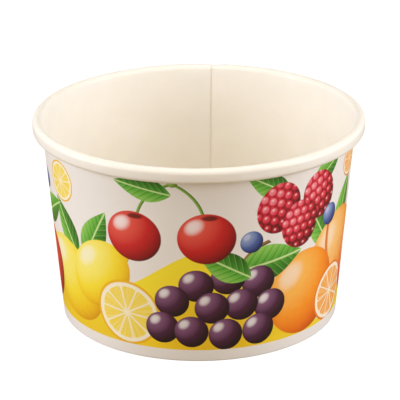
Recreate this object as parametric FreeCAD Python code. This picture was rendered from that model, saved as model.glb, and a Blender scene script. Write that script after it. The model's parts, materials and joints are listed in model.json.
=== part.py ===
import FreeCAD, Part
import math
import os

# Paper dessert cup, in millimetres. +Z is up, and the origin is the centre of the plane it stands on.
#
# Two pieces of coated board make the cup:
#   side_wall  a fan-shaped blank rolled to a cone. Its ends lap at the back and are sealed. Its top is
#              rolled outwards and under into the rim, and its foot is turned in and up into a hem.
#   base_disc  a disc with a turned-down skirt, gripped between the wall and the hem.
#
# Both are sheets of even thickness, so each is drawn as the path of the board's middle in the plane of
# radius and height, given its thickness there, and turned about the cup's axis.

# Overall sizes
RIM_DIAMETER = 96.0
CUP_HEIGHT = 60.0
# The wall's outside, carried down to the plane that the cup stands on
FOOT_DIAMETER = 81.0

# Board
WALL_BOARD = 0.40
BASE_BOARD = 0.35
# Thickness of the melted coating between two sealed faces
SEAL_GAP = 0.02

# Rolled rim: how far it stands out from the wall's own line at the top, and its straight outer side
RIM_OVERHANG = 2.50
RIM_DROP = 1.60
# Room between the roll and the seam's outer ply, and how far the rolled edge goes on turning inside
ROLL_CLEARANCE = 0.10
TUCK_TURN_DEG = 120.0

# Foot: the bend's inside radius, the height of the base panel's underside, and the panel's corner
FOLD_INSIDE = 0.05
BASE_RECESS = 7.50
PANEL_CORNER = 0.50
# Room above the hem's edge and below the skirt's edge
HEM_CLEARANCE = 0.50
SKIRT_CLEARANCE = 0.50

# Side seam, at the back. The inner ply's end is where the board, come full circle, climbs onto it.
SEAM_BEARING_DEG = 90.0
LAP_WIDTH = 7.0
CLIMB_WIDTH = 4.0
CLIMB_STEPS = 4
# The blank's corner is cut away here, so that the foot stays one board thick under the lap
NOTCH_RISE = 0.60

AXIS_POINT = FreeCAD.Vector(0, 0, 0)
AXIS = FreeCAD.Vector(0, 0, 1)
FULL_TURN_DEG = 360.0

# The wall's lean from upright, and its outside radius at the rim's top, along its own line
rim_radius = RIM_DIAMETER / 2
foot_radius = FOOT_DIAMETER / 2
mouth_radius = rim_radius - RIM_OVERHANG
lean = math.atan2(mouth_radius - foot_radius, CUP_HEIGHT)
lean_deg = math.degrees(lean)
mean_radius = (mouth_radius + foot_radius) / 2


def wall_outside(height):
    """Radius of the wall's outside at a height."""
    return foot_radius + height * math.tan(lean)


def wall_middle(height):
    """Radius of the middle of the wall's board at a height."""
    return wall_outside(height) - WALL_BOARD / 2 / math.cos(lean)


def direction(heading_deg):
    """Unit vector for a heading in the plane of radius and height: 0 is outwards and 90 is up."""
    angle = math.radians(heading_deg)
    return FreeCAD.Vector(math.cos(angle), 0, math.sin(angle))


def board_face(start, heading_deg, moves, thickness, lift=0.0):
    """The cut face of a board whose middle starts at (radius, height) and follows the moves.

    A move is ("line", length), ("left", radius, degrees) or ("right", radius, degrees). A lift shifts
    the whole board square to itself, to the right of the way that it runs.
    """
    point = FreeCAD.Vector(start[0], 0, start[1])
    offsets = (lift - thickness / 2, lift + thickness / 2)
    sides = ([], [])
    first = [point + direction(heading_deg - 90) * offset for offset in offsets]
    for move in moves:
        before = [point + direction(heading_deg - 90) * offset for offset in offsets]
        if move[0] == "line":
            point = point + direction(heading_deg) * move[1]
            half_way = None
        else:
            way = 1 if move[0] == "left" else -1
            centre = point + direction(heading_deg + 90 * way) * move[1]
            half_heading = heading_deg + way * move[2] / 2
            half_way = centre - direction(half_heading + 90 * way) * move[1]
            heading_deg = heading_deg + way * move[2]
            point = centre - direction(heading_deg + 90 * way) * move[1]
        after = [point + direction(heading_deg - 90) * offset for offset in offsets]
        for side, offset, a, b in zip(sides, offsets, before, after):
            if half_way is None:
                side.append(Part.LineSegment(a, b).toShape())
            else:
                bulge = half_way + direction(half_heading - 90) * offset
                side.append(Part.Arc(a, bulge, b).toShape())
    start_edge = Part.LineSegment(first[1], first[0]).toShape()
    end_edge = Part.LineSegment(after[0], after[1]).toShape()
    return Part.Face(Part.Wire([start_edge, *sides[0], end_edge, *reversed(sides[1])]))


def turned(face, from_deg, sweep_deg):
    """The solid that a face sweeps about the cup's axis, from one bearing through an angle."""
    placed = face.copy()
    placed.rotate(AXIS_POINT, AXIS, from_deg)
    return placed.revolve(AXIS_POINT, AXIS, sweep_deg)


# The bend at the foot: two quarter bends with a short flat between them, on which the cup stands
fold_radius = FOLD_INSIDE + WALL_BOARD / 2
fold_height = WALL_BOARD / 2 + fold_radius
hem_spacing = WALL_BOARD + BASE_BOARD + 2 * SEAL_GAP
fold_flat = (hem_spacing - 2 * fold_radius) / math.cos(lean)
wall_start_height = fold_height - fold_radius * math.sin(lean)
hem_end_height = fold_height + fold_radius * math.sin(lean)
hem_top_height = BASE_RECESS - PANEL_CORNER - HEM_CLEARANCE
notch_height = wall_start_height + NOTCH_RISE

# The roll at the rim: an upper bend tangent to the wall, a straight drop, and a lower bend that brings
# the edge back beside the wall, from where it tucks up inside. At the seam the outer ply passes between.
rim_middle = rim_radius - WALL_BOARD / 2
mouth_middle = wall_middle(CUP_HEIGHT)
upper_reach = (rim_middle - mouth_middle + WALL_BOARD / 2 * math.tan(lean)) * math.cos(lean)
upper_radius = upper_reach / (1 + math.cos(lean) - math.sin(lean))
upper_height = CUP_HEIGHT - WALL_BOARD / 2 - upper_radius
wall_end_height = upper_height + upper_radius * math.sin(lean)
lower_height = upper_height - RIM_DROP
lower_reach = (rim_middle - wall_outside(lower_height)) * math.cos(lean)
lower_radius = (lower_reach - WALL_BOARD * 3 / 2 - ROLL_CLEARANCE) / (1 + math.cos(lean))
tuck_radius = lower_radius - WALL_BOARD

ROLL = [
    ("right", upper_radius, 180.0 - lean_deg),
    ("line", RIM_DROP),
    ("right", lower_radius, 180.0),
]
TUCK = [("right", tuck_radius, TUCK_TURN_DEG)]


def wall_run(from_height):
    """The straight move up the wall from a height to where the roll begins."""
    return ("line", (wall_end_height - from_height) / math.cos(lean))


def foot_face():
    """The hem, the bend under it and the start of the wall, up to the notch."""
    start = (wall_middle(hem_top_height) - hem_spacing / math.cos(lean), hem_top_height)
    moves = [
        ("line", (hem_top_height - hem_end_height) / math.cos(lean)),
        ("left", fold_radius, 90.0 + lean_deg),
        ("line", fold_flat),
        ("left", fold_radius, 90.0 - lean_deg),
        ("line", NOTCH_RISE / math.cos(lean)),
    ]
    return board_face(start, 270.0 - lean_deg, moves, WALL_BOARD)


def upper_face(lift, roll):
    """The wall above the notch with its rolled rim, lifted square to itself by an amount."""
    start = (wall_middle(notch_height), notch_height)
    moves = [wall_run(notch_height), *roll]
    return board_face(start, 90.0 - lean_deg, moves, WALL_BOARD, lift)


def side_wall():
    """The rolled blank: a foot that goes all the way round, the main turn, the climb and the lap."""
    climb_deg = math.degrees(CLIMB_WIDTH / mean_radius)
    lap_deg = math.degrees(LAP_WIDTH / mean_radius)
    inner_end_deg = SEAM_BEARING_DEG - lap_deg / 2
    foot = turned(foot_face(), 0.0, FULL_TURN_DEG)
    main_turn = turned(upper_face(0.0, ROLL + TUCK), inner_end_deg, FULL_TURN_DEG - climb_deg)
    climb = []
    for step in range(CLIMB_STEPS):
        ends = []
        for share in (step / CLIMB_STEPS, (step + 1) / CLIMB_STEPS):
            face = upper_face(WALL_BOARD * share, ROLL)
            face.rotate(AXIS_POINT, AXIS, inner_end_deg - climb_deg * (1 - share))
            ends.append(face.OuterWire)
        climb.append(Part.makeLoft(ends, True, True))
    lap = turned(upper_face(WALL_BOARD, ROLL), inner_end_deg, lap_deg)
    return foot.fuse([main_turn, *climb, lap])


def base_disc():
    """The flat panel, its corner and its skirt, which lies against the wall's inside."""
    corner_radius = PANEL_CORNER + BASE_BOARD / 2
    panel_middle = BASE_RECESS + BASE_BOARD / 2
    corner_end = panel_middle - corner_radius * (1 + math.sin(lean))
    skirt_inset = (WALL_BOARD / 2 + SEAL_GAP + BASE_BOARD / 2) / math.cos(lean)
    corner_centre = wall_middle(corner_end) - skirt_inset - corner_radius * math.cos(lean)
    skirt_foot = WALL_BOARD + SKIRT_CLEARANCE
    moves = [
        ("line", corner_centre),
        ("right", corner_radius, 90.0 + lean_deg),
        ("line", (corner_end - skirt_foot) / math.cos(lean)),
    ]
    return turned(board_face((0.0, panel_middle), 0.0, moves, BASE_BOARD), 0.0, FULL_TURN_DEG)


def main():
    os.makedirs("parts", exist_ok=True)
    pieces = {"side_wall": side_wall(), "base_disc": base_disc()}
    for name, shape in pieces.items():
        solids = shape.Solids
        print(name, "solids", len(solids), "valid", shape.isValid(), "volume", round(shape.Volume, 1))
        Part.makeCompound(solids).exportStep(os.path.join("parts", name + ".step"))


main()
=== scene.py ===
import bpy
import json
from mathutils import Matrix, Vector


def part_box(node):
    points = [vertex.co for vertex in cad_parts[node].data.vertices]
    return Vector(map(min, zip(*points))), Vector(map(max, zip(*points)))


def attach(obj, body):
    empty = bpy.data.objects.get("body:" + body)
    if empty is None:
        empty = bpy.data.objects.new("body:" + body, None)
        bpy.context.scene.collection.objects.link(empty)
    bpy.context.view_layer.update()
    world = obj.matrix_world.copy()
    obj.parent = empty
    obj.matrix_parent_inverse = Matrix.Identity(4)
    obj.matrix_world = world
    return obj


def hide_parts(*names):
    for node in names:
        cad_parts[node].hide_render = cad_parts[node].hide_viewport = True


bl_info = {
    "name": "Paper dessert cup",
    "version": (1, 0, 0),
    "blender": (4, 5, 0),
    "location": "View3D > Sidebar > Dessert cup",
    "description": "Dresses the frame of a paper dessert cup in printed coated board and lights it",
    "category": "Object",
}

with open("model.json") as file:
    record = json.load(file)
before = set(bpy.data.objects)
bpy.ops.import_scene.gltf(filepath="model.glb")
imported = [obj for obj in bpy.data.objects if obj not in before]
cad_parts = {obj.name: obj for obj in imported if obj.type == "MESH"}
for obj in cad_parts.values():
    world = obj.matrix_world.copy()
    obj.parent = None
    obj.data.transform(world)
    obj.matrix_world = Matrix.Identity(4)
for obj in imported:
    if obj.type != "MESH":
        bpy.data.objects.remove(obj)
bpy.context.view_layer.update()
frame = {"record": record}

import json
import math

import bpy
from mathutils import Matrix, Vector

LID_RIM = next(mount["dims"] for mount in frame["record"]["mounts"] if mount["name"] == "lid_rim")
_, WALL_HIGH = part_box("side_wall")

MM = 0.001
FULL_TURN = 2 * math.pi
QUARTER = math.pi / 2

# Bearing of the cup's front, and a distance that counts as none.
FRONT_BEARING = -QUARTER
TINY = 0.001 * MM

# The two corners of a cut edge are rounded. Nothing else on the sheets turns by as much as the first angle.
CUT_ROUNDING = 0.09 * MM
CUT_TURN = math.radians(60)
SMOOTH_TURN = math.radians(40)

# Rows of faces along each stretch of the wall's section, from the hem's edge to the tuck, and of the base's.
WALL_ROWS = {"hem": 3, "fold": 6, "cone": 16, "upper_roll": 14, "rim_side": 2, "lower_roll": 12, "tuck": 6}
BASE_ROWS = {"panel": 12, "corner": 8, "skirt": 3}

# Settings that many nodes share.
COLOURS = {"data_type": "RGBA"}
SOFT = {"interpolation_type": "SMOOTHSTEP"}


def linear(code):
    """An sRGB hex colour as linear red, green, blue and an alpha of 1."""
    levels = [int(code[place:place + 2], 16) / 255 for place in (1, 3, 5)]
    return (*(v / 12.92 if v <= 0.04045 else ((v + 0.055) / 1.055) ** 2.4 for v in levels), 1.0)


def length(label, about, default):
    """A size in metres for a property group."""
    return bpy.props.FloatProperty(
        name=label, description=about, default=default, precision=5, unit="LENGTH", subtype="DISTANCE"
    )


def angle(label, about, degrees):
    """An angle for a property group."""
    return bpy.props.FloatProperty(
        name=label, description=about, default=math.radians(degrees), unit="ROTATION", subtype="ANGLE"
    )


def shade(label, about, code):
    """A colour for a property group."""
    return bpy.props.FloatVectorProperty(
        name=label, description=about, default=linear(code), size=4, min=0, max=1, subtype="COLOR"
    )


def power(label, about, watts):
    """A lamp's power for a property group."""
    return bpy.props.FloatProperty(name=label, description=about, default=watts, min=0, unit="POWER")


class CupShape(bpy.types.PropertyGroup):
    """Sizes of the two pieces of board. What the frame tells is read from it."""

    rim_radius: length("Rim radius", "Outside radius of the rolled rim", LID_RIM["r_mm"] * MM)
    rim_drop: length("Rim drop", "Length of the rim's straight side", LID_RIM["length_mm"] * MM)
    height: length("Height", "From the foot to the top of the rim", WALL_HIGH.z)
    foot_radius: length("Foot radius", "The wall's outside, carried down to the table", 40.5 * MM)
    mouth_radius: length("Mouth radius", "The wall's outside, carried up to the rim's top", 45.5 * MM)
    wall_board: length("Wall board", "Thickness of the wall's board", 0.40 * MM)
    base_board: length("Base board", "Thickness of the base's board", 0.35 * MM)
    seal_gap: length("Seal gap", "Coating between two sealed faces", 0.02 * MM)
    fold_inside: length("Fold inside radius", "Inside radius of the bend at the foot", 0.05 * MM)
    base_recess: length("Base recess", "Height of the base panel's underside", 7.5 * MM)
    panel_corner: length("Panel corner", "Inside radius of the base panel's corner", 0.50 * MM)
    hem_clearance: length("Hem clearance", "Room between the hem's edge and the panel's corner", 0.50 * MM)
    skirt_clearance: length("Skirt clearance", "Room between the skirt's edge and the fold", 0.50 * MM)
    roll_clearance: length("Roll clearance", "Room between the roll and the seam's outer ply", 0.10 * MM)
    lap_width: length("Lap width", "How far the two ends of the wall's board overlap", 7.0 * MM)
    climb_width: length("Climb width", "Over how much the outer ply climbs onto the inner one", 4.0 * MM)
    notch_rise: length("Notch rise", "How high the blank's corner is cut away under the lap", 0.60 * MM)
    tuck_turn: angle("Tuck turn", "How far the rolled edge goes on turning inside the roll", 120)
    seam_bearing: angle("Seam bearing", "Where the side seam is, counter-clockwise from +X", 90)
    columns: bpy.props.IntProperty(name="Columns", description="Faces round the cup", default=240, min=48)


class CupFinish(bpy.types.PropertyGroup):
    """Colours of the board and of the print's main fields."""

    board: shade("Board", "Coated white board of the printed side", "#F3F0EC")
    lining: shade("Lining", "Coated white board of the inside and the rim", "#F6F1E8")
    edge: shade("Board edge", "Bare cut fibres", "#E6DCC8")
    print_bottom: length("Print bottom", "Height of the unprinted band above the foot", 3.65 * MM)
    wave_light: shade("Wave light", "Upper part of the yellow wave", "#FFEB38")
    wave_deep: shade("Wave deep", "Lower part of the yellow wave", "#FFD624")


class CupStage(bpy.types.PropertyGroup):
    """Camera, floor and lamps."""

    distance: length("Camera distance", "From the aim point", 0.600)
    lens: bpy.props.FloatProperty(name="Lens", description="Focal length", default=183.97, unit="CAMERA")
    elevation: angle("Elevation", "Camera above the table", 21.29)
    roll: angle("Roll", "Camera turn about its own line of sight", -0.36)
    aim: bpy.props.FloatVectorProperty(
        name="Aim", description="Point that the camera looks at", default=(0.226 * MM, 0, 32.9 * MM),
        unit="LENGTH", subtype="TRANSLATION",
    )
    floor: shade("Floor", "Pale table, as a camera sees it", "#FFFFFF")
    floor_bounce: shade("Floor bounce", "Pale table, as it throws light back on the cup", "#96825A")
    side_power: power("Side lamps", "Soft boxes to the left and right", 3.3)
    top_power: power("Top lamp", "Soft box above the cup's mouth", 2.0)
    front_power: power("Front lamp", "Weak warm fill from the front", 0.37)
    sky: bpy.props.FloatProperty(
        name="Sky", description="Strength of the pale surroundings", default=0.29, min=0, subtype="FACTOR"
    )


def settings():
    """The three property groups of the scene."""
    scene = bpy.context.scene
    return scene.cup_shape, scene.cup_finish, scene.cup_stage


class CupLines:
    """Lengths of the board's cross-section that follow from the cup's sizes."""

    def __init__(self, cup):
        board, base = cup.wall_board, cup.base_board
        self.cup = cup
        self.lean = math.atan2(cup.mouth_radius - cup.foot_radius, cup.height)
        rise, slope = math.cos(self.lean), math.sin(self.lean)
        self.rise = rise

        # The fold at the foot, and the hem that runs up inside it.
        self.fold_radius = cup.fold_inside + board / 2
        fold_height = board / 2 + self.fold_radius
        self.hem_spacing = board + base + 2 * cup.seal_gap
        self.fold_flat = (self.hem_spacing - 2 * self.fold_radius) / rise
        self.wall_start = fold_height - self.fold_radius * slope
        self.hem_end = fold_height + self.fold_radius * slope
        self.hem_top = cup.base_recess - cup.panel_corner - cup.hem_clearance
        self.notch = self.wall_start + cup.notch_rise

        # The roll: an upper half turn onto the straight side, a lower one under it, and the tuck inside.
        rim_middle = cup.rim_radius - board / 2
        reach = (rim_middle - self.wall_middle(cup.height) + board / 2 * math.tan(self.lean)) * rise
        self.upper_radius = reach / (1 + rise - slope)
        upper_height = cup.height - board / 2 - self.upper_radius
        self.wall_end = upper_height + self.upper_radius * slope
        under_reach = (rim_middle - self.wall_outside(upper_height - cup.rim_drop)) * rise
        self.lower_radius = (under_reach - 1.5 * board - cup.roll_clearance) / (1 + rise)
        self.tuck_radius = self.lower_radius - board

        # The base's panel, its corner, and the skirt between the wall and the hem.
        self.panel_middle = cup.base_recess + base / 2
        self.corner_radius = cup.panel_corner + base / 2
        self.corner_end = self.panel_middle - self.corner_radius * (1 + slope)
        self.skirt_foot = board + cup.skirt_clearance
        skirt_offset = (board / 2 + cup.seal_gap + base / 2) / rise
        self.corner_centre = self.wall_middle(self.corner_end) - skirt_offset - self.corner_radius * rise

        # The lap seam, which the board climbs just before it.
        self.mean_radius = (cup.foot_radius + cup.mouth_radius) / 2
        self.lap_turn = cup.lap_width / self.mean_radius
        self.climb_turn = cup.climb_width / self.mean_radius
        self.inner_end = cup.seam_bearing - self.lap_turn / 2

    def wall_outside(self, height):
        """Radius of the wall's outer face."""
        return self.cup.foot_radius + height * math.tan(self.lean)

    def wall_middle(self, height):
        """Radius of the middle of the wall's board."""
        return self.wall_outside(height) - self.cup.wall_board / 2 / self.rise


def heading(turn):
    """Unit vector in the plane of radius and height: 0 is outwards and a quarter turn is up."""
    return Vector((math.cos(turn), 0, math.sin(turn)))


def pick(piece, chosen):
    """Selects the vertices of a piece that a list of true and false picks."""
    mesh = piece.data
    for parts in (mesh.polygons, mesh.edges):
        parts.foreach_set("select", [False] * len(parts))
    mesh.vertices.foreach_set("select", chosen)
    mesh.update()


def edit(piece, chosen=None):
    """Opens a piece in edit mode with the chosen vertices selected, or with all of them."""
    if chosen is not None:
        pick(piece, chosen)
    bpy.ops.object.mode_set(mode="EDIT")
    bpy.ops.mesh.select_mode(type="VERT")
    if chosen is None:
        bpy.ops.mesh.select_all(action="SELECT")


def close():
    """Goes back to object mode."""
    bpy.ops.object.mode_set(mode="OBJECT")


def numbers(piece, name):
    """A number of every vertex, by the name of its attribute."""
    mesh = piece.data
    values = [0.0] * len(mesh.vertices)
    if name in mesh.attributes:
        mesh.attributes[name].data.foreach_get("value", values)
    return values


def keep_numbers(piece, name, values):
    """Stores a number for every vertex under a name."""
    mesh = piece.data
    if name not in mesh.attributes:
        mesh.attributes.new(name, "FLOAT", "POINT")
    mesh.attributes[name].data.foreach_set("value", values)


class BoardPath:
    """The middle line of a board, drawn as one vertex that is extruded and spun along its way."""

    def __init__(self, name, start, turn):
        """Starts at (radius, height), ready to run in a heading."""
        bpy.ops.object.select_all(action="DESELECT")
        bpy.ops.mesh.primitive_plane_add(size=MM)
        self.piece = bpy.context.object
        self.piece.name = name
        self.piece.data.name = name
        edit(self.piece)
        bpy.ops.mesh.merge(type="CENTER")
        self.start = Vector((start[0], 0, start[1]))
        self.point = self.start.copy()
        bpy.ops.transform.translate(value=self.start)
        self.turn = turn
        self.runs = [0.0]

    def note(self, distance, steps):
        """Keeps how far along the board each new vertex lies, and returns it for the last one."""
        begin = self.runs[-1]
        self.runs += [begin + distance * (step + 1) / steps for step in range(steps)]
        return self.runs[-1]

    def line(self, distance, steps=1):
        """Runs straight on."""
        for _ in range(steps):
            move = heading(self.turn) * distance / steps
            bpy.ops.mesh.extrude_vertices_move(TRANSFORM_OT_translate={"value": move})
            self.point += move
        return self.note(distance, steps)

    def bend(self, radius, turn, steps):
        """Turns about a centre beside the path: to the left if the turn is positive."""
        side = math.copysign(QUARTER, turn)
        centre = self.point + heading(self.turn + side) * radius
        bpy.ops.mesh.spin(steps=steps, angle=turn, center=centre, axis=(0, 1, 0), use_auto_merge=False)
        self.turn += turn
        self.point = centre - heading(self.turn + side) * radius
        return self.note(radius * abs(turn), steps)

    def finish(self):
        """Closes the drawing, with how far along the board each vertex lies kept as `path`."""
        close()
        mesh = self.piece.data
        beside = {vertex.index: [] for vertex in mesh.vertices}
        for edge in mesh.edges:
            first, second = edge.vertices
            beside[first].append(second)
            beside[second].append(first)
        here = min(mesh.vertices, key=lambda vertex: (vertex.co - self.start).length).index
        before = None
        values = [0.0] * len(mesh.vertices)
        for run in self.runs:
            values[here] = run
            onward = [index for index in beside[here] if index != before]
            before, here = here, (onward[0] if onward else None)
        keep_numbers(self.piece, "path", values)
        return self.piece


def bearing(point):
    """Direction of a point from the axis, counter-clockwise from +X."""
    return math.atan2(point.y, point.x)


def sweep(piece, chosen, turn, steps):
    """Spins the chosen column of vertices about the cup's axis. A positive turn is counter-clockwise."""
    edit(piece, chosen)
    bpy.ops.mesh.spin(steps=steps, angle=-turn, center=(0, 0, 0), axis=(0, 0, 1), use_auto_merge=False)
    close()


def face_outwards(piece, outwards):
    """Recalculates the normals of an open sheet, and turns them over if a test finds them inwards."""
    edit(piece)
    bpy.ops.mesh.normals_make_consistent(inside=False)
    close()
    if not outwards(piece.data):
        edit(piece)
        bpy.ops.mesh.flip_normals()
        close()


def modify(piece, kind, **values):
    """Adds a modifier with its values and applies it."""
    modifier = piece.modifiers.new(kind.title(), kind)
    for name, value in values.items():
        setattr(modifier, name, value)
    bpy.ops.object.modifier_apply(modifier=modifier.name)


def thicken(piece, board, materials):
    """Gives a sheet its board, half to each side, and its materials: front, back and cut edge."""
    for material in materials:
        piece.data.materials.append(material)
    modify(
        piece, "SOLIDIFY", thickness=board, offset=0, use_even_offset=True, use_quality_normals=True,
        material_offset=1, material_offset_rim=2,
    )
    modify(piece, "BEVEL", width=CUT_ROUNDING, segments=2, limit_method="ANGLE", angle_limit=CUT_TURN)
    bpy.ops.object.shade_smooth_by_angle(angle=SMOOTH_TURN)


def lay_print(piece, foot_run, radius):
    """Maps the sheet in millimetres: across from the middle of the front, and up from the foot."""
    mesh = piece.data
    layer = mesh.uv_layers.new(name="print")
    runs = numbers(piece, "path")
    for face in mesh.polygons:
        middle = bearing(face.center)
        for corner in face.loop_indices:
            vertex = mesh.vertices[mesh.loops[corner].vertex_index]
            aside = 0.0
            if vertex.co.xy.length > TINY:
                aside = (bearing(vertex.co) - middle + math.pi) % FULL_TURN - math.pi
            across = (middle + aside - FRONT_BEARING) * radius
            layer.data[corner].uv = (across / MM, (runs[vertex.index] - foot_run) / MM)


def draw_wall_path(lines):
    """The wall's board in section, and how far along it the foot, notch, lap's foot and tuck lie."""
    cup = lines.cup
    start = (lines.wall_middle(lines.hem_top) - lines.hem_spacing / lines.rise, lines.hem_top)
    path = BoardPath("side_wall_sheet", start, -QUARTER - lines.lean)
    path.line((lines.hem_top - lines.hem_end) / lines.rise, WALL_ROWS["hem"])
    path.bend(lines.fold_radius, QUARTER + lines.lean, WALL_ROWS["fold"])
    path.line(lines.fold_flat)
    wall_run = path.bend(lines.fold_radius, QUARTER - lines.lean, WALL_ROWS["fold"])
    notch_run = path.line(cup.notch_rise / lines.rise)
    lap_run = path.line(cup.notch_rise / lines.rise)
    path.line((lines.wall_end - lines.notch - cup.notch_rise) / lines.rise, WALL_ROWS["cone"])
    path.bend(lines.upper_radius, lines.lean - math.pi, WALL_ROWS["upper_roll"])
    path.line(cup.rim_drop, WALL_ROWS["rim_side"])
    tuck_run = path.bend(lines.lower_radius, -math.pi, WALL_ROWS["lower_roll"])
    path.bend(lines.tuck_radius, -cup.tuck_turn, WALL_ROWS["tuck"])
    foot_run = wall_run - lines.wall_start / lines.rise
    return path.finish(), foot_run, notch_run, lap_run, tuck_run


def where(piece, test):
    """Tests each vertex of a swept sheet by its turn and by how far along the board it lies."""
    return [test(turn, run) for turn, run in zip(numbers(piece, "turn"), numbers(piece, "path"))]


def grow(piece, chosen, begin, turn, steps, first_bearing):
    """Sweeps a column on, and keeps how far each new vertex has turned from the sheet's first end."""
    count = len(piece.data.vertices)
    sweep(piece, chosen, turn, steps)
    turns = numbers(piece, "turn")
    middle = begin + turn / 2
    for vertex in piece.data.vertices[count:]:
        away = bearing(vertex.co) - first_bearing - middle
        turns[vertex.index] = middle + (away + math.pi) % FULL_TURN - math.pi
    keep_numbers(piece, "turn", turns)


def wall_faces_out(mesh, lines):
    """True if a face halfway up the wall looks away from the axis."""
    middle = lines.cup.height / 2
    nearest = min(mesh.polygons, key=lambda face: abs(face.center.z - middle))
    return nearest.normal.xy.dot(nearest.center.xy) > 0


def lap_seam(piece, lines, notch_run, lap_run, tuck_run):
    """Carries the sheet on over its own beginning: it climbs one board's thickness and laps it."""
    steps = round(lines.cup.columns * lines.climb_turn / FULL_TURN) + 1
    column = lines.climb_turn / steps
    main_turn = FULL_TURN - lines.climb_turn
    last = where(piece, lambda turn, run: turn > main_turn - column / 2 and run < tuck_run + TINY)
    grow(piece, last, main_turn, lines.climb_turn, steps, lines.inner_end)
    last = where(piece, lambda turn, run: turn > FULL_TURN - column / 2 and run > lap_run - TINY)
    grow(piece, last, FULL_TURN, lines.lap_turn, steps * 2, lines.inner_end)

    face_outwards(piece, lambda mesh: wall_faces_out(mesh, lines))
    lift = lines.cup.wall_board + lines.cup.seal_gap
    for step in range(1, steps + 1):
        low = main_turn + column * (step - 0.5)
        high = math.inf if step == steps else low + column
        edit(piece, where(piece, lambda turn, run: low < turn < high and run > notch_run + TINY))
        bpy.ops.transform.shrink_fatten(value=lift * step / steps)
        close()


def merge_doubles(piece):
    """Merges the vertices that lie on each other."""
    edit(piece)
    bpy.ops.mesh.remove_doubles(threshold=5 * TINY)
    close()


def turn_to(piece, turn):
    """Turns a whole drawing about the cup's axis."""
    edit(piece)
    bpy.ops.transform.rotate(value=-turn, orient_axis="Z", orient_type="GLOBAL", center_override=(0, 0, 0))
    close()


def sweep_section(piece, turn, steps, first_bearing):
    """Sweeps the whole section round, and keeps how far each vertex has turned from the first end."""
    sweep(piece, [True] * len(piece.data.vertices), turn, steps)
    half = turn / steps / 2
    turns = [(bearing(vertex.co) - first_bearing + half) % FULL_TURN - half for vertex in piece.data.vertices]
    keep_numbers(piece, "turn", turns)


def build_side_wall(cup, materials):
    """The printed wall: hem, fold, cone, rolled rim and lap seam, as one sheet of board."""
    lines = CupLines(cup)
    piece, foot_run, notch_run, lap_run, tuck_run = draw_wall_path(lines)
    turn_to(piece, lines.inner_end)
    main_turn = FULL_TURN - lines.climb_turn
    sweep_section(piece, main_turn, round(cup.columns * main_turn / FULL_TURN), lines.inner_end)
    lap_seam(piece, lines, notch_run, lap_run, tuck_run)
    merge_doubles(piece)
    face_outwards(piece, lambda mesh: wall_faces_out(mesh, lines))
    lay_print(piece, foot_run, lines.mean_radius)
    thicken(piece, cup.wall_board, materials)
    return piece


def build_base_disc(cup, materials):
    """The base: a flat panel with its edge turned down as a skirt."""
    lines = CupLines(cup)
    path = BoardPath("base_disc_sheet", (0, lines.panel_middle), 0)
    path.line(lines.corner_centre, BASE_ROWS["panel"])
    path.bend(lines.corner_radius, -QUARTER - lines.lean, BASE_ROWS["corner"])
    path.line((lines.corner_end - lines.skirt_foot) / lines.rise, BASE_ROWS["skirt"])
    piece = path.finish()
    sweep(piece, [True] * len(piece.data.vertices), FULL_TURN, cup.columns)
    merge_doubles(piece)
    face_outwards(piece, lambda mesh: max(mesh.polygons, key=lambda face: face.center.z).normal.z > 0)
    lay_print(piece, 0, lines.mean_radius)
    thicken(piece, cup.base_board, materials)
    return piece


def plug(tree, socket, value):
    """Links a node's first output or a socket, or sets a value."""
    if isinstance(value, bpy.types.Node):
        value = next(output for output in value.outputs if output.enabled)
    if isinstance(value, bpy.types.NodeSocket):
        tree.links.new(value, socket)
    elif value is not None:
        socket.default_value = value


def add(tree, kind, *inputs, stops=(), **values):
    """Adds a node with its settings, its ramp's stops, and its inputs in order or in a dictionary by name."""
    node = tree.nodes.new(kind if kind.startswith("NodeGroup") else "ShaderNode" + kind)
    for name, value in values.items():
        setattr(node, name, value)
    if stops:
        ramp = node.color_ramp
        while len(ramp.elements) < len(stops):
            ramp.elements.new(1.0)
        for element, (place, code) in zip(ramp.elements, stops):
            element.position = place
            element.color = linear(code)
    if inputs and isinstance(inputs[0], dict):
        for name, value in inputs[0].items():
            plug(tree, node.inputs[name], value)
    else:
        for socket, value in zip([socket for socket in node.inputs if socket.enabled], inputs):
            plug(tree, socket, value)
    return node


def start_material(name):
    """An empty node material."""
    material = bpy.data.materials.new(name)
    material.use_nodes = True
    material.node_tree.nodes.clear()
    return material, material.node_tree


def start_group(name, inputs, outputs):
    """An empty node group with its sockets, and the node that holds what goes into it."""
    tree = bpy.data.node_groups.new(name, "ShaderNodeTree")
    for direction, sockets in (("INPUT", inputs), ("OUTPUT", outputs)):
        for label, kind in sockets.items():
            tree.interface.new_socket(name=label, in_out=direction, socket_type="NodeSocket" + kind)
    return tree, add(tree, "NodeGroupInput").outputs


PLACE = {"X": "Float", "Y": "Float"}
LAMP = {"Lamp X": "Float", "Lamp Y": "Float"}

# The painter's light comes from above on the left, and from in front of the picture.
LAMP_SIDE = (-0.45, 0.50)
LAMP_HEIGHT = 0.74

# Rows and columns of beads in half a berry, rows of veins in half a leaf, and segments in a slice.
BEAD_ROWS, BEAD_COLUMNS = 2.9, 2.5
VEIN_ROWS = 4.2
SEGMENTS = 10

# Mottles of the fruits' skin in a millimetre of the print.
MOTTLES = 0.45

# The wave in millimetres: height of its middle line, its long and short swell, and how far its colour fades.
WAVE_MIDDLE, WAVE_LONG, WAVE_SHORT, WAVE_FADE = 21.0, 9.0, 8.0, 26.0


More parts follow.
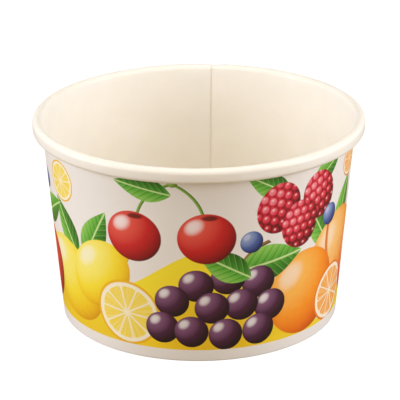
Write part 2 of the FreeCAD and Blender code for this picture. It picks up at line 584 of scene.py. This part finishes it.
def painted_ball_group():
    """A round fruit as a painter shades it: its outline, how light each spot is, and its gloss."""
    tree, given = start_group(
        "painted_ball", PLACE | LAMP, {"Mask": "Float", "Shade": "Float", "Gloss": "Float"}
    )
    across = add(tree, "Math", given["X"], given["X"], operation="MULTIPLY")
    square = add(tree, "Math", given["Y"], given["Y"], across, operation="MULTIPLY_ADD")
    rest = add(tree, "Math", 1.0, square, operation="SUBTRACT", use_clamp=True)
    bulge = add(tree, "Math", rest, 0.5, operation="POWER")
    top = add(tree, "Math", bulge, LAMP_HEIGHT, operation="MULTIPLY")
    beside = add(tree, "Math", given["X"], given["Lamp X"], top, operation="MULTIPLY_ADD")
    lit = add(tree, "Math", given["Y"], given["Lamp Y"], beside, operation="MULTIPLY_ADD")
    add(tree, "NodeGroupOutput", {
        "Mask": add(tree, "MapRange", square, 0.93, 1.0, 1.0, 0.0, **SOFT),
        "Shade": add(tree, "MapRange", lit, -0.7, 1.0, 0.0, 1.0),
        "Gloss": add(tree, "MapRange", lit, 0.90, 1.0, 0.0, 1.0, **SOFT),
    })
    return tree


def berry_beads_group():
    """The beads of a raspberry: rows of small balls, each row half a bead aside of the next one."""
    tree, given = start_group("berry_beads", PLACE | LAMP, {"Shade": "Float", "Gloss": "Float"})
    rows = add(tree, "Math", given["Y"], BEAD_ROWS, operation="MULTIPLY")
    row = add(tree, "Math", rows, operation="FLOOR")
    half = add(tree, "Math", row, 0.5, operation="MULTIPLY")
    columns = add(tree, "Math", given["X"], BEAD_COLUMNS, half, operation="MULTIPLY_ADD")
    across = add(tree, "Math", columns, 0.5, -0.5, operation="WRAP")
    centred = add(tree, "Math", rows, 0.5, operation="SUBTRACT")
    up = add(tree, "Math", centred, 0.5, -0.5, operation="WRAP")
    beside = add(tree, "Math", across, given["Lamp X"], operation="MULTIPLY")
    lit = add(tree, "Math", up, given["Lamp Y"], beside, operation="MULTIPLY_ADD")
    wide = add(tree, "Math", across, across, operation="MULTIPLY")
    square = add(tree, "Math", up, up, wide, operation="MULTIPLY_ADD")
    gaps = add(tree, "MapRange", square, 0.08, 0.27, 0.0, -0.42, **SOFT)
    left = add(tree, "Math", across, 0.13, operation="ADD")
    above = add(tree, "Math", up, 0.15, operation="SUBTRACT")
    left_square = add(tree, "Math", left, left, operation="MULTIPLY")
    away = add(tree, "Math", above, above, left_square, operation="MULTIPLY_ADD")
    add(tree, "NodeGroupOutput", {
        "Shade": add(tree, "Math", lit, 0.45, gaps, operation="MULTIPLY_ADD"),
        "Gloss": add(tree, "MapRange", away, 0.0, 0.035, 1.0, 0.0, **SOFT),
    })
    return tree


def citrus_slice_group():
    """A cut slice: rind, white pith, segments of flesh and the streaks of their pulp."""
    tree, given = start_group(
        "citrus_slice", PLACE | {"Flesh": "Color", "Rind": "Color"}, {"Mask": "Float", "Colour": "Color"}
    )
    across = add(tree, "Math", given["X"], given["X"], operation="MULTIPLY")
    square = add(tree, "Math", given["Y"], given["Y"], across, operation="MULTIPLY_ADD")
    radius = add(tree, "Math", square, operation="SQRT")
    turn = add(tree, "Math", given["Y"], given["X"], operation="ARCTAN2")
    count = add(tree, "Math", turn, SEGMENTS / FULL_TURN, operation="MULTIPLY")
    wedge = add(tree, "Math", count, 0.5, -0.5, operation="WRAP")
    aside = add(tree, "Math", wedge, operation="ABSOLUTE")
    left = add(tree, "Math", 0.5, aside, operation="SUBTRACT")
    spread = add(tree, "Math", left, radius, operation="MULTIPLY")
    skin = add(tree, "Math", spread, FULL_TURN / SEGMENTS, operation="MULTIPLY")
    rim = add(tree, "Math", 0.82, radius, operation="SUBTRACT")
    edge = add(tree, "Math", skin, rim, 0.12, operation="SMOOTH_MIN")
    along = add(tree, "Math", turn, 9.0, radius, operation="MULTIPLY_ADD")
    streaks = add(tree, "TexNoise", {"W": along, "Scale": 1.7, "Detail": 2.0}, noise_dimensions="1D")
    paler = add(tree, "MapRange", streaks, 0.42, 0.70, 0.0, 0.7)
    flesh = add(tree, "Mix", paler, given["Flesh"], linear("#FFF3B8"), **COLOURS)
    inside = add(tree, "MapRange", edge, 0.0, 0.045, 0.0, 1.0, **SOFT)
    pulp = add(tree, "Mix", inside, linear("#FFF8E0"), flesh, **COLOURS)
    outer = add(tree, "MapRange", radius, 0.89, 0.93, 0.0, 1.0, **SOFT)
    add(tree, "NodeGroupOutput", {
        "Mask": add(tree, "MapRange", radius, 0.97, 1.0, 1.0, 0.0, **SOFT),
        "Colour": add(tree, "Mix", outer, pulp, given["Rind"], **COLOURS),
    })
    return tree


def leaf_group():
    """A leaf from its stem at -1 to its tip at 1: outline, midrib, side veins and a lighter half."""
    tree, given = start_group("leaf", PLACE, {"Mask": "Float", "Colour": "Color"})
    along = given["X"]
    side = add(tree, "Math", given["Y"], operation="ABSOLUTE")
    square = add(tree, "Math", along, along, operation="MULTIPLY")
    oval = add(tree, "Math", 1.0, square, operation="SUBTRACT")
    blunt = add(tree, "Math", along, -0.35, 1.0, operation="MULTIPLY_ADD")
    width = add(tree, "Math", blunt, 0.2, operation="MAXIMUM")
    half = add(tree, "Math", oval, width, operation="MULTIPLY")
    outside = add(tree, "Math", side, half, operation="SUBTRACT")
    lag = add(tree, "Math", side, -0.45, along, operation="MULTIPLY_ADD")
    rows = add(tree, "Math", lag, VEIN_ROWS, operation="MULTIPLY")
    vein = add(tree, "Math", rows, 0.5, -0.5, operation="WRAP")
    ripple = add(tree, "Math", vein, 0.15, 0.5, operation="MULTIPLY_ADD")
    tone = add(tree, "Math", given["Y"], 0.34, ripple, operation="MULTIPLY_ADD")
    green = add(tree, "ValToRGB", tone, stops=(
        (0.10, "#1F5414"), (0.42, "#3B8A24"), (0.62, "#5FB238"), (0.95, "#A5DB6A"),
    ))
    near_vein = add(tree, "Math", vein, operation="ABSOLUTE")
    thin = add(tree, "MapRange", near_vein, 0.02, 0.09, 0.30, 0.0, **SOFT)
    midrib = add(tree, "MapRange", side, 0.03, 0.09, 1.0, 0.0, **SOFT)
    rib = add(tree, "Math", midrib, thin, operation="MAXIMUM")
    add(tree, "NodeGroupOutput", {
        "Mask": add(tree, "MapRange", outside, -0.05, 0.0, 1.0, 0.0, **SOFT),
        "Colour": add(tree, "Mix", rib, green, linear("#C9E79A"), **COLOURS),
    })
    return tree


def stalk_group():
    """A bowed stalk from -1 to 1, lighter along its upper side."""
    tree, given = start_group(
        "stalk", PLACE | {"Bow": "Float", "Width": "Float"}, {"Mask": "Float", "Shade": "Float"}
    )
    square = add(tree, "Math", given["X"], given["X"], operation="MULTIPLY")
    oval = add(tree, "Math", 1.0, square, operation="SUBTRACT")
    bow = add(tree, "Math", oval, given["Bow"], operation="MULTIPLY")
    off = add(tree, "Math", given["Y"], bow, operation="SUBTRACT")
    share = add(tree, "Math", off, given["Width"], operation="DIVIDE")
    away = add(tree, "Math", share, operation="ABSOLUTE")
    beside = add(tree, "MapRange", away, 0.8, 1.0, 1.0, 0.0, **SOFT)
    beyond = add(tree, "MapRange", square, 0.98, 1.0, 1.0, 0.0, **SOFT)
    add(tree, "NodeGroupOutput", {
        "Mask": add(tree, "Math", beside, beyond, operation="MULTIPLY"),
        "Shade": add(tree, "Math", share, 0.45, 0.5, operation="MULTIPLY_ADD"),
    })
    return tree


class FruitPrint:
    """A picture painted motif by motif over a ground, in millimetres from its middle and from the foot.

    It repeats every panel, so a motif that crosses a panel's side is drawn from the panel's own edge.
    Each motif is finished before the next one starts and works with plain numbers, so that a renderer
    holds few values at a time.
    """

    def __init__(self, tree, point, panel, ground):
        parts = add(tree, "SeparateXYZ", point)
        self.grain = add(tree, "TexNoise", {"Vector": point, "Scale": MOTTLES, "Detail": 4.0}).outputs[0]
        self.tree = tree
        self.panel = panel
        self.up = parts.outputs["Y"]
        self.near = add(tree, "Math", parts.outputs["X"], panel / 2, -panel / 2, operation="WRAP").outputs[0]
        self.far = add(tree, "Math", parts.outputs["X"], panel, 0.0, operation="WRAP").outputs[0]
        self.colour = ground
        self.ball_shape = painted_ball_group()
        self.beads_shape = berry_beads_group()
        self.leaf_shape = leaf_group()
        self.stalk_shape = stalk_group()
        self.slice_shape = citrus_slice_group()

    def paint(self, mask, colour):
        """Lays a colour over the picture."""
        self.colour = add(self.tree, "Mix", mask, self.colour, colour, **COLOURS)

    def spot(self, place, size, turn=0.0):
        """A motif's own two coordinates, each from -1 to 1 across it."""
        across, up = place
        inside = abs(across) + max(size) < self.panel / 2
        source = self.near if inside else self.far
        across = across if inside else across % self.panel
        cosine, sine = math.cos(math.radians(turn)), math.sin(math.radians(turn))
        own = []
        for extent, first, second in ((size[0], cosine, sine), (size[1], -sine, cosine)):
            offset = -(across * first + up * second) / extent
            part = add(self.tree, "Math", self.up, second / extent, offset, operation="MULTIPLY_ADD")
            own.append(add(self.tree, "Math", source, first / extent, part, operation="MULTIPLY_ADD"))
        return own

    def lamp(self, turn):
        """The painter's light, from above on the left, in the coordinates of a turned motif."""
        return tuple(Matrix.Rotation(-math.radians(turn), 2) @ Vector(LAMP_SIDE))

    def shadow(self, place, size, strength=0.16, colour="#B06808"):
        """A soft shadow between the fruits, or in a hollow of one."""
        across, up = self.spot(place, size)
        wide = add(self.tree, "Math", across, across, operation="MULTIPLY")
        square = add(self.tree, "Math", up, up, wide, operation="MULTIPLY_ADD")
        soft = add(self.tree, "MapRange", square, 0.2, 1.0, strength, 0.0, **SOFT)
        self.paint(soft, linear(colour))

    def fruit(self, place, size, colours, turn=0.0, gloss=0.7, grain=0.0):
        """A round fruit in colours from its shaded side to its lit one."""
        own = self.spot(place, size, turn)
        ball = add(self.tree, "Group", *own, *self.lamp(turn), node_tree=self.ball_shape)
        tone = ball.outputs["Shade"]
        if grain:
            darker = add(self.tree, "Math", tone, -grain / 2, operation="ADD")
            tone = add(self.tree, "Math", self.grain, grain, darker, operation="MULTIPLY_ADD")
        body = add(self.tree, "ValToRGB", tone, stops=tuple(zip((0.0, 0.18, 0.45, 0.72, 1.0), colours)))
        shine = add(self.tree, "Math", ball.outputs["Gloss"], gloss, operation="MULTIPLY")
        self.paint(ball.outputs["Mask"], add(self.tree, "Mix", shine, body, linear("#FFFFFF"), **COLOURS))

    def blueberry(self, place):
        """A blueberry. All of them have one size."""
        self.fruit(place, (3.4, 3.4), BLUEBERRY, 0, 0.3)

    def raspberry(self, place, size, turn):
        """A raspberry with its stem upwards."""
        own = self.spot(place, size, turn)
        ball = add(self.tree, "Group", *own, *self.lamp(turn), node_tree=self.ball_shape)
        beads = add(self.tree, "Group", *own, *self.lamp(turn), node_tree=self.beads_shape)
        tone = add(self.tree, "Math", ball.outputs["Shade"], beads.outputs["Shade"], operation="ADD")
        body = add(self.tree, "ValToRGB", tone, stops=(
            (0.0, "#5A0716"), (0.3, "#8E0E22"), (0.55, "#C81C34"), (0.8, "#E8455A"), (1.0, "#F58C98"),
        ))
        shine = add(self.tree, "Math", beads.outputs["Gloss"], 0.6, operation="MULTIPLY")
        self.paint(ball.outputs["Mask"], add(self.tree, "Mix", shine, body, linear("#FFE4E4"), **COLOURS))

    def leaf(self, place, size, turn):
        """A leaf whose tip points in a direction."""
        leaf = add(self.tree, "Group", *self.spot(place, size, turn), node_tree=self.leaf_shape)
        self.paint(leaf.outputs["Mask"], leaf.outputs["Colour"])

    def stalk(self, start, end, bow, width, colours):
        """A bowed stalk between two places."""
        begin, finish = Vector(start), Vector(end)
        middle, half = (begin + finish) / 2, (finish - begin) / 2
        reach = half.length
        own = self.spot(middle, (reach, reach), math.degrees(math.atan2(half.y, half.x)))
        stalk = add(self.tree, "Group", *own, bow / reach, width / reach, node_tree=self.stalk_shape)
        body = add(self.tree, "ValToRGB", stalk.outputs["Shade"], stops=tuple(zip((0.1, 0.9), colours)))
        self.paint(stalk.outputs["Mask"], body)

    def slice(self, place, size, turn, flesh, rind):
        """A cut slice of citrus fruit."""
        own = self.spot(place, size, turn)
        cut = add(self.tree, "Group", *own, linear(flesh), linear(rind), node_tree=self.slice_shape)
        self.paint(cut.outputs["Mask"], cut.outputs["Colour"])

    def wave(self, light, deep):
        """A yellow field that rises and falls twice on its way round the panel."""
        across = add(self.tree, "Math", self.near, FULL_TURN / self.panel, operation="MULTIPLY")
        slow = add(self.tree, "Math", across, 2.2, operation="ADD")
        quick = add(self.tree, "Math", across, 2.0, 0.9, operation="MULTIPLY_ADD")
        long_swell = add(self.tree, "Math", slow, operation="SINE")
        short_swell = add(self.tree, "Math", quick, operation="SINE")
        swell = add(self.tree, "Math", long_swell, WAVE_LONG, WAVE_MIDDLE, operation="MULTIPLY_ADD")
        crest = add(self.tree, "Math", short_swell, WAVE_SHORT, swell, operation="MULTIPLY_ADD")
        above = add(self.tree, "Math", self.up, crest, operation="SUBTRACT")
        depth = add(self.tree, "MapRange", above, -WAVE_FADE, 0.0, 0.0, 1.0)
        below = add(self.tree, "MapRange", above, -0.3, 0.1, 1.0, 0.0, **SOFT)
        self.paint(below, add(self.tree, "Mix", depth, deep, light, **COLOURS))


LEMON = ("#C88A0E", "#DFA010", "#F4C81A", "#FCE434", "#FFF583")
ORANGE = ("#A63C08", "#C9500A", "#EE7612", "#FC9A26", "#FFC45C")
APRICOT = ("#A82E10", "#D04A14", "#F07622", "#F9A23E", "#FFD284")
APPLE = ("#52080A", "#820E12", "#BE1C1C", "#E44632", "#F99A6A")
CHERRY = ("#4C0810", "#640A14", "#A0121A", "#CE2226", "#EE5E50")
GRAPE = ("#34182C", "#140812", "#2A1020", "#4A2040", "#8C5C84")
BLUEBERRY = ("#2A3058", "#1A2048", "#2C3C78", "#4A62A4", "#93A8D4")
GREEN_STALK = ("#3E6A1C", "#9CCB58")
BROWN_STALK = ("#4A3018", "#A88850")
APRICOT_CREASE = ("#D25E1E", "#F09A48")
STALK_KNOT = ("#3E6A1C", "#4E7A24", "#6E9A38", "#8CB850", "#B8DC80")
LEMON_FLESH, LEMON_RIND = "#FBDD34", "#F2BC14"
ORANGE_FLESH, ORANGE_RIND = "#FA9C28", "#F07E12"
GRAPES = (
    (17, 24), (8, 26), (-1, 24), (21, 16), (-8, 19), (12, 17.5),
    (3.5, 17), (-11, 10.5), (17.5, 9), (-2.5, 9.5), (7.5, 8.5),
)


def fruit_pattern(tree, point, panel, finish):
    """The wall's picture: a generic mix of fruit on a yellow wave."""
    picture = FruitPrint(tree, point, panel, tuple(finish.board))
    picture.wave(tuple(finish.wave_light), tuple(finish.wave_deep))
    citrus_corner(picture)
    orange_corner(picture)
    apple_corner(picture)
    grape_bunch(picture)
    cherry_pair(picture)
    raspberry_group(picture)
    return picture.colour


def citrus_corner(picture):
    """Two lemons, each with a small nub at its end, and two slices and leaves beside them."""
    picture.shadow((-37, 12), (25, 15))
    picture.leaf((-32, 35), (10, 4.6), 60)
    picture.leaf((-45, 34), (10, 4.4), 122)
    picture.fruit((-55.5, 24.5), (4.6, 3.4), LEMON, 150, 0.0)
    picture.fruit((-45, 18), (15, 11.4), LEMON, -28, 0.5, 0.10)
    picture.fruit((-23.5, 30.5), (3.8, 2.8), LEMON, 40, 0.0)
    picture.fruit((-31.5, 23.5), (12.6, 9.6), LEMON, 40, 0.5, 0.10)
    picture.slice((-22, 13.5), (10.6, 10.2), 12, LEMON_FLESH, LEMON_RIND)
    picture.slice((-46, 47.5), (6.4, 6.2), 30, LEMON_FLESH, LEMON_RIND)


def orange_corner(picture):
    """An apricot with its crease behind an orange, and two slices and leaves beside them."""
    picture.shadow((40, 12), (26, 15))
    picture.leaf((52, 38), (10.5, 4.8), 66)
    picture.leaf((38, 36), (9, 4.2), 124)
    picture.fruit((50, 23), (15.5, 14.8), APRICOT, 0, 0.35, 0.22)
    picture.stalk((43, 35.5), (50, 14), -2.8, 0.8, APRICOT_CREASE)
    picture.fruit((33.5, 17), (13.6, 13.4), ORANGE, 0, 0.45, 0.12)
    picture.slice((48, 12), (9.4, 9.0), 25, ORANGE_FLESH, ORANGE_RIND)
    picture.slice((55, 51), (5.6, 5.4), 10, ORANGE_FLESH, ORANGE_RIND)


def apple_corner(picture):
    """A red apple on the panel's own edge, with its hollow and stalk, leaves and two blueberries."""
    picture.shadow((69, 11), (18, 12))
    picture.leaf((79, 36), (9.5, 4.4), 28)
    picture.fruit((69, 18), (14, 13.4), APPLE, 0, 0.5, 0.25)
    picture.shadow((69, 29), (4.6, 1.8), 0.8, "#4A1206")
    picture.stalk((69, 28), (72.5, 36.5), 0.9, 0.7, BROWN_STALK)
    picture.blueberry((-60, 44))
    picture.blueberry((-65.5, 39.5))
    picture.leaf((67, 48), (7, 3.2), 160)


def grape_bunch(picture):
    """Dark grapes that hang to one side, under a leaf."""
    picture.shadow((5, 12), (22, 14))
    picture.stalk((11, 28), (20, 36), 1.6, 0.7, BROWN_STALK)
    picture.leaf((21, 29.5), (10.5, 5.6), 8)
    for place in GRAPES:
        picture.fruit(place, (5.1, 5.0), GRAPE, 0, 0.75)
    picture.leaf((7, 30), (9, 4.4), 150)


def cherry_pair(picture):
    """Two cherries on joined stalks."""
    knot = (-7, 55)
    picture.stalk((-17.5, 43), knot, 2.4, 0.5, GREEN_STALK)
    picture.stalk((1.5, 43), knot, -2.0, 0.5, GREEN_STALK)
    picture.leaf((-15.5, 53), (8.4, 3.6), 170)
    for across, up in ((-18.5, 38), (2, 38.5)):
        picture.fruit((across, up), (8.2, 7.8), CHERRY, 0, 0.8)
        picture.shadow((across + 0.8, up + 6.3), (2.8, 1.0), 0.8, "#3C040A")
    picture.fruit(knot, (1.3, 1.0), STALK_KNOT)


def raspberry_group(picture):
    """Three raspberries and two blueberries under their leaves."""
    picture.leaf((19, 53), (8, 3.6), 150)
    picture.leaf((40, 53), (7.5, 3.4), 30)
    picture.raspberry((22.5, 45.5), (6.8, 7.8), -20)
    picture.raspberry((37, 46), (6.6, 7.6), 22)
    picture.raspberry((30, 39), (6.6, 7.4), 3)
    picture.blueberry((43, 38))
    picture.blueberry((14.5, 36.5))


# How many clumps of pulp, cut fibres, and thick or thin places lie along a metre of board.
CLUMPS = 0.9 / MM
CUT_FIBRES = 4 / MM
CLOUDS = 0.18 / MM

# Depth of the board's unevenness and of what a tool presses into it.
UNEVENNESS = 0.04 * MM
PRESSED_DEPTH = 0.12 * MM

# In the print's millimetres: widths of a flute of the knurl and of a pleat, and how soft the print's end is.
FLUTE = 1.9
PLEAT = 1.3
PRINT_END = 0.05

# The knurl fades in between these distances past the fold, and the pleats on their way to the corner.
KNURL_FULL, KNURL_START = -1.4, -0.9
PLEATS_START, PLEATS_FULL = -0.6, 0.2

# Where the pulp lies thin, the board is this share as bright in red, green and blue.
THIN_PULP = (0.985, 0.981, 0.973, 1.0)

# Light spreads inside board for about its thickness, red the furthest.
SPREAD = {"Subsurface Radius": (1.0, 0.9, 0.75), "Subsurface Scale": 0.5 * MM}


def board_fibres(tree, height=None):
    """The faint unevenness of board under its coating, on top of a pressed relief if there is one."""
    place = add(tree, "TexCoord")
    fibres = add(tree, "TexNoise", {"Vector": place.outputs["Object"], "Scale": CLUMPS, "Detail": 4.0})
    bump = {"Height": fibres, "Strength": 0.10, "Distance": UNEVENNESS}
    if height is not None:
        bump["Normal"] = add(tree, "Bump", {"Height": height, "Strength": 1.0, "Distance": PRESSED_DEPTH})
    return add(tree, "Bump", bump)


def clouded_board(tree, colour):
    """Unprinted board's colour and gloss, which vary a little where its pulp lies thick or thin."""
    place = add(tree, "TexCoord")
    cloud = add(tree, "TexNoise", {"Vector": place.outputs["Object"], "Scale": CLOUDS, "Detail": 5.0})
    thin = add(tree, "MapRange", cloud, 0.35, 0.65, 0.0, 1.0)
    duller = tuple(channel * share for channel, share in zip(colour, THIN_PULP))
    roughness = add(tree, "MapRange", cloud, 0.35, 0.65, 0.38, 0.47)
    return add(tree, "Mix", thin, colour, duller, **COLOURS), roughness


def coated_surface(tree, colour, normal, roughness=0.42, glow=0.0):
    """Satin of melted coating over paper: it shows wide soft lights and no sharp ones.

    A glow stands for the light that spreads inside unprinted board and softens its small steps.
    """
    surface = add(tree, "BsdfPrincipled", {
        "Base Color": colour, "Roughness": roughness, "IOR": 1.5, "Normal": normal,
        "Subsurface Weight": glow, **SPREAD,
    })
    add(tree, "OutputMaterial", surface)


def printed_coated_board(cup, finish):
    """Printed cup board: offset print under a melted coating.

    The eye sees clear strong colours with a soft sheen on them, a white band at the foot where the print
    stops, and on the underside the fine flutes that a knurling tool pressed into the hem.
    """
    material, tree = start_material("printed_coated_board")
    point = add(tree, "UVMap", uv_map="print")
    panel = math.pi * (cup.foot_radius + cup.mouth_radius) / 2 / MM
    picture = fruit_pattern(tree, point, panel, finish)
    parts = add(tree, "SeparateXYZ", point)
    bottom = finish.print_bottom / MM
    printed = add(tree, "MapRange", parts.outputs["Y"], bottom - PRINT_END, bottom + PRINT_END, 0.0, 1.0)
    colour = add(tree, "Mix", printed, tuple(finish.board), picture, **COLOURS)
    turns = add(tree, "Math", parts.outputs["X"], FULL_TURN / FLUTE, operation="MULTIPLY")
    flutes = add(tree, "Math", turns, operation="SINE")
    hem = add(tree, "MapRange", parts.outputs["Y"], KNURL_FULL, KNURL_START, 1.0, 0.0, **SOFT)
    knurl = add(tree, "Math", flutes, hem, operation="MULTIPLY")
    coated_surface(tree, colour, board_fibres(tree, knurl))
    return material


def coated_white_board(finish):
    """White board under a melted coating, for the inside of the cup and its rolled rim.

    The eye sees a warm, even white that glows a little where light passes through the board, with a faint
    cloudiness of pulp and a satin sheen along the roll.
    """
    material, tree = start_material("coated_white_board")
    colour, roughness = clouded_board(tree, tuple(finish.lining))
    coated_surface(tree, colour, board_fibres(tree), roughness, glow=0.5)
    return material


def cut_board_edge(finish):
    """Board where a knife cut it: bare fibres without coating.

    The eye sees a thin line that is dull, fuzzy and a little darker than the coated faces beside it.
    """
    material, tree = start_material("cut_board_edge")
    place = add(tree, "TexCoord")
    fibres = add(tree, "TexNoise", {"Vector": place.outputs["Object"], "Scale": CUT_FIBRES, "Detail": 3.0})
    colour = add(tree, "Mix", fibres, tuple(finish.edge), tuple(finish.board), **COLOURS)
    surface = add(tree, "BsdfPrincipled", {
        "Base Color": colour, "Roughness": 0.85, "IOR": 1.45, "Subsurface Weight": 0.5, **SPREAD,
    })
    add(tree, "OutputMaterial", surface)
    return material


def base_board(cup, finish):
    """The base's white board under a melted coating, pressed over a die.

    The eye sees a flat satin disc whose corner is broken up by the fine pleats of the board that the skirt
    had no room for.
    """
    material, tree = start_material("base_coated_board")
    parts = add(tree, "SeparateXYZ", add(tree, "UVMap", uv_map="print"))
    turns = add(tree, "Math", parts.outputs["X"], FULL_TURN / PLEAT, operation="MULTIPLY")
    pleats = add(tree, "Math", turns, operation="SINE")
    corner = CupLines(cup).corner_centre / MM
    start, full = corner + PLEATS_START, corner + PLEATS_FULL
    outer = add(tree, "MapRange", parts.outputs["Y"], start, full, 0.0, 0.5, **SOFT)
    relief = add(tree, "Math", pleats, outer, operation="MULTIPLY")
    colour, roughness = clouded_board(tree, tuple(finish.lining))
    coated_surface(tree, colour, board_fibres(tree, relief), roughness)
    return material


def take_place(piece, node):
    """Puts a finished piece in the place of its plain solid."""
    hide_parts(node)
    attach(piece, "root")


class CUP_OT_side_wall(bpy.types.Operator):
    """Models the printed side wall"""

    bl_idname = "cup.side_wall"
    bl_label = "Side wall"

    def execute(self, context):
        cup, finish, _ = settings()
        materials = printed_coated_board(cup, finish), coated_white_board(finish), cut_board_edge(finish)
        take_place(build_side_wall(cup, materials), "side_wall")
        return {"FINISHED"}


class CUP_OT_base_disc(bpy.types.Operator):
    """Models the base disc"""

    bl_idname = "cup.base_disc"
    bl_label = "Base disc"

    def execute(self, context):
        cup, finish, _ = settings()
        board = base_board(cup, finish)
        take_place(build_base_disc(cup, (board, board, cut_board_edge(finish))), "base_disc")
        return {"FINISHED"}


FLOOR_SIZE = 4.0
FLOOR_GLOW = 0.80
FLOOR_DIM = "#A0A0A0"
SKY_COLOUR = "#FFFAF4"

# Soft boxes: name, place, side of the square in metres, colour, and the setting that holds their power.
LAMP_TARGET = (0, 0, 0.03)
LAMPS = (
    ("left_box", (-0.58, -0.16, 0.20), 0.45, "#F4F6FF", "side_power"),
    ("right_box", (0.58, -0.16, 0.20), 0.45, "#F4F6FF", "side_power"),
    ("top_box", (0, -0.12, 0.65), 0.40, "#FFF4E0", "top_power"),
    ("front_box", (0, -0.70, 0.35), 0.35, "#FFD090", "front_power"),
)


def place_camera(stage):
    """The camera in front of the cup, a little above it."""
    tilt = Matrix.Rotation(QUARTER - stage.elevation, 3, "X") @ Matrix.Rotation(stage.roll, 3, "Z")
    back = Vector((0, -math.cos(stage.elevation), math.sin(stage.elevation)))
    bpy.ops.object.camera_add(location=Vector(stage.aim) + back * stage.distance, rotation=tilt.to_euler())
    camera = bpy.context.object
    camera.data.lens = stage.lens
    camera.data.clip_start = 10 * MM
    bpy.context.scene.camera = camera


def hang_lamp(name, place, size, colour, watts):
    """A square soft box that looks at the cup."""
    toward = Vector(LAMP_TARGET) - Vector(place)
    bpy.ops.object.light_add(type="AREA", location=place, rotation=toward.to_track_quat("-Z", "Y").to_euler())
    lamp = bpy.context.object
    lamp.name = name
    lamp.data.shape = "SQUARE"
    lamp.data.size = size
    lamp.data.energy = watts
    lamp.data.color = linear(colour)[:3]


def pale_floor(stage):
    """A white table, which the eye sees as plain white but for the cup's faint shadow."""
    material, tree = start_material("white_table")
    path = add(tree, "LightPath")
    matte = add(tree, "BsdfDiffuse", tuple(stage.floor_bounce))
    dim = add(tree, "BsdfDiffuse", linear(FLOOR_DIM))
    glow = add(tree, "Emission", tuple(stage.floor), FLOOR_GLOW)
    seen = add(tree, "AddShader", dim, glow)
    surface = add(tree, "MixShader", path.outputs["Is Camera Ray"], matte, seen)
    add(tree, "OutputMaterial", surface)
    return material


def pale_world(stage):
    """Pale surroundings that light the cup softly, and white where the camera looks past the table."""
    world = bpy.data.worlds.new("pale_room")
    bpy.context.scene.world = world
    world.use_nodes = True
    tree = world.node_tree
    tree.nodes.clear()
    path = add(tree, "LightPath")
    room = add(tree, "Background", linear(SKY_COLOUR), stage.sky)
    white = add(tree, "Background", linear("#FFFFFF"), 1.0)
    mix = add(tree, "MixShader", path.outputs["Is Camera Ray"], room, white)
    add(tree, "OutputWorld", mix)


class CUP_OT_stage(bpy.types.Operator):
    """Sets up the table, the lamps and the camera"""

    bl_idname = "cup.stage"
    bl_label = "Stage"

    def execute(self, context):
        _, _, stage = settings()
        bpy.ops.object.select_all(action="DESELECT")
        bpy.ops.mesh.primitive_plane_add(size=FLOOR_SIZE)
        floor = bpy.context.object
        floor.name = "table"
        floor.data.materials.append(pale_floor(stage))
        for name, place, size, colour, setting in LAMPS:
            hang_lamp(name, place, size, colour, getattr(stage, setting))
        pale_world(stage)
        place_camera(stage)
        bpy.context.scene.view_settings.view_transform = "Standard"
        return {"FINISHED"}


class CUP_PT_panel(bpy.types.Panel):
    """Lists the pieces of the cup and its stage"""

    bl_idname = "CUP_PT_panel"
    bl_label = "Dessert cup"
    bl_space_type = "VIEW_3D"
    bl_region_type = "UI"
    bl_category = "Dessert cup"

    def draw(self, context):
        for step in STEPS:
            self.layout.operator(step.bl_idname)


GROUPS = {"cup_shape": CupShape, "cup_finish": CupFinish, "cup_stage": CupStage}
STEPS = (CUP_OT_side_wall, CUP_OT_base_disc, CUP_OT_stage)


def register():
    for name, group in GROUPS.items():
        bpy.utils.register_class(group)
        setattr(bpy.types.Scene, name, bpy.props.PointerProperty(type=group))
    for step in (*STEPS, CUP_PT_panel):
        bpy.utils.register_class(step)


def unregister():
    for step in (CUP_PT_panel, *reversed(STEPS)):
        bpy.utils.unregister_class(step)
    for name, group in reversed(GROUPS.items()):
        delattr(bpy.types.Scene, name)
        bpy.utils.unregister_class(group)


def main():
    register()
    for step in STEPS:
        group, name = step.bl_idname.split(".")
        getattr(getattr(bpy.ops, group), name)()


if __name__ == "__main__":
    main()
